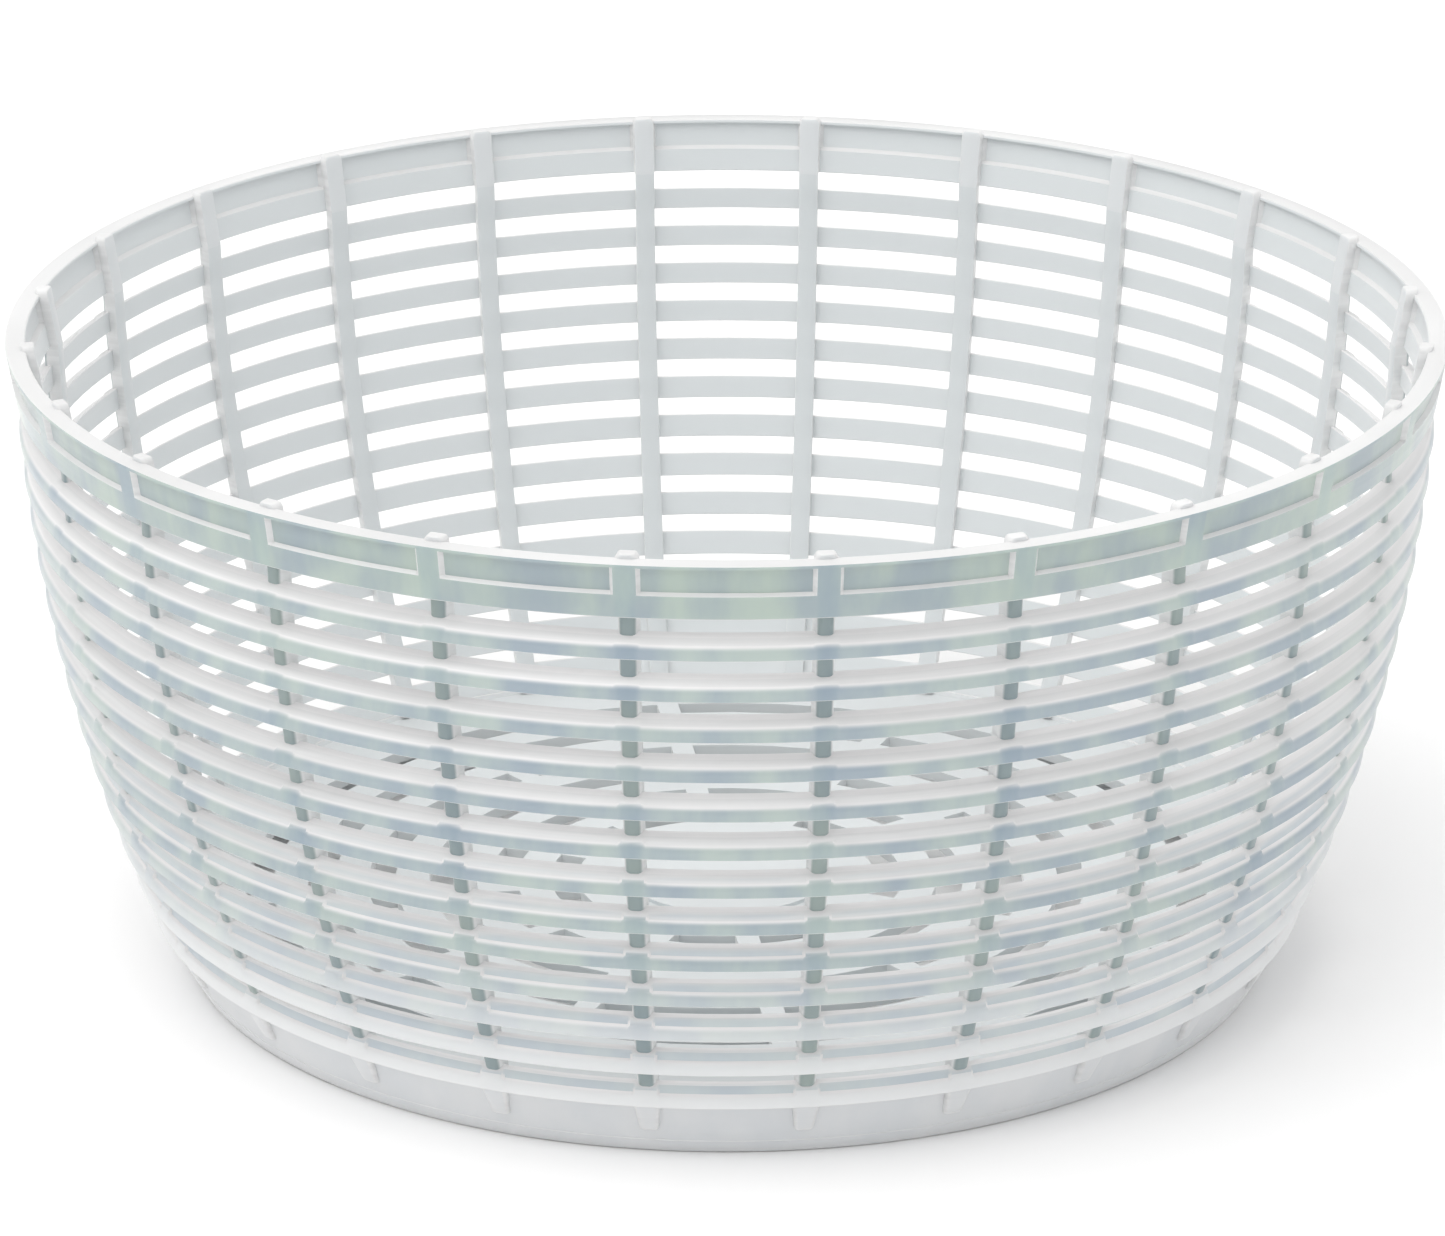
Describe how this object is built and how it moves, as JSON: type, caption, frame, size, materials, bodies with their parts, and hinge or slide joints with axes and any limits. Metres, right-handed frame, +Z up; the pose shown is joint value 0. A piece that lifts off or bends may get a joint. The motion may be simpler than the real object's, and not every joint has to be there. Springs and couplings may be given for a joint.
{
  "type": "salad spinner basket",
  "caption": "Round slatted strainer basket of a hand salad and herb spinner, with a panelled rim, upright ribs, bowed sides full of level slots, a slotted floor and a tapered foot.",
  "frame": {"origin": "centre of the foot, on the surface that the basket stands on", "axes": "+Z up along the basket's axis; the middle of one bay between two ribs faces -Y, and the others follow every 15 degrees"},
  "size_m": [0.1878, 0.1878, 0.0867],
  "materials": {
    "natural_plastic": "translucent unpigmented polypropylene, satin"
  },
  "bodies": {
    "root": {"rim_band": "natural_plastic", "slat_hoop_01": "natural_plastic", "slat_hoop_02": "natural_plastic", "slat_hoop_03": "natural_plastic", "slat_hoop_04": "natural_plastic", "slat_hoop_05": "natural_plastic", "slat_hoop_06": "natural_plastic", "slat_hoop_07": "natural_plastic", "slat_hoop_08": "natural_plastic", "slat_hoop_09": "natural_plastic", "slat_hoop_10": "natural_plastic", "slat_hoop_11": "natural_plastic", "slat_hoop_12": "natural_plastic", "slat_hoop_13": "natural_plastic", "rib_01": "natural_plastic", "rib_02": "natural_plastic", "rib_03": "natural_plastic", "rib_04": "natural_plastic", "rib_05": "natural_plastic", "rib_06": "natural_plastic", "rib_07": "natural_plastic", "rib_08": "natural_plastic", "rib_09": "natural_plastic", "rib_10": "natural_plastic", "rib_11": "natural_plastic", "rib_12": "natural_plastic", "rib_13": "natural_plastic", "rib_14": "natural_plastic", "rib_15": "natural_plastic", "rib_16": "natural_plastic", "rib_17": "natural_plastic", "rib_18": "natural_plastic", "rib_19": "natural_plastic", "rib_20": "natural_plastic", "rib_21": "natural_plastic", "rib_22": "natural_plastic", "rib_23": "natural_plastic", "rib_24": "natural_plastic", "foot_ring": "natural_plastic", "floor_grid": "natural_plastic", "pivot_socket": "natural_plastic"}
  },
  "joints": []
}
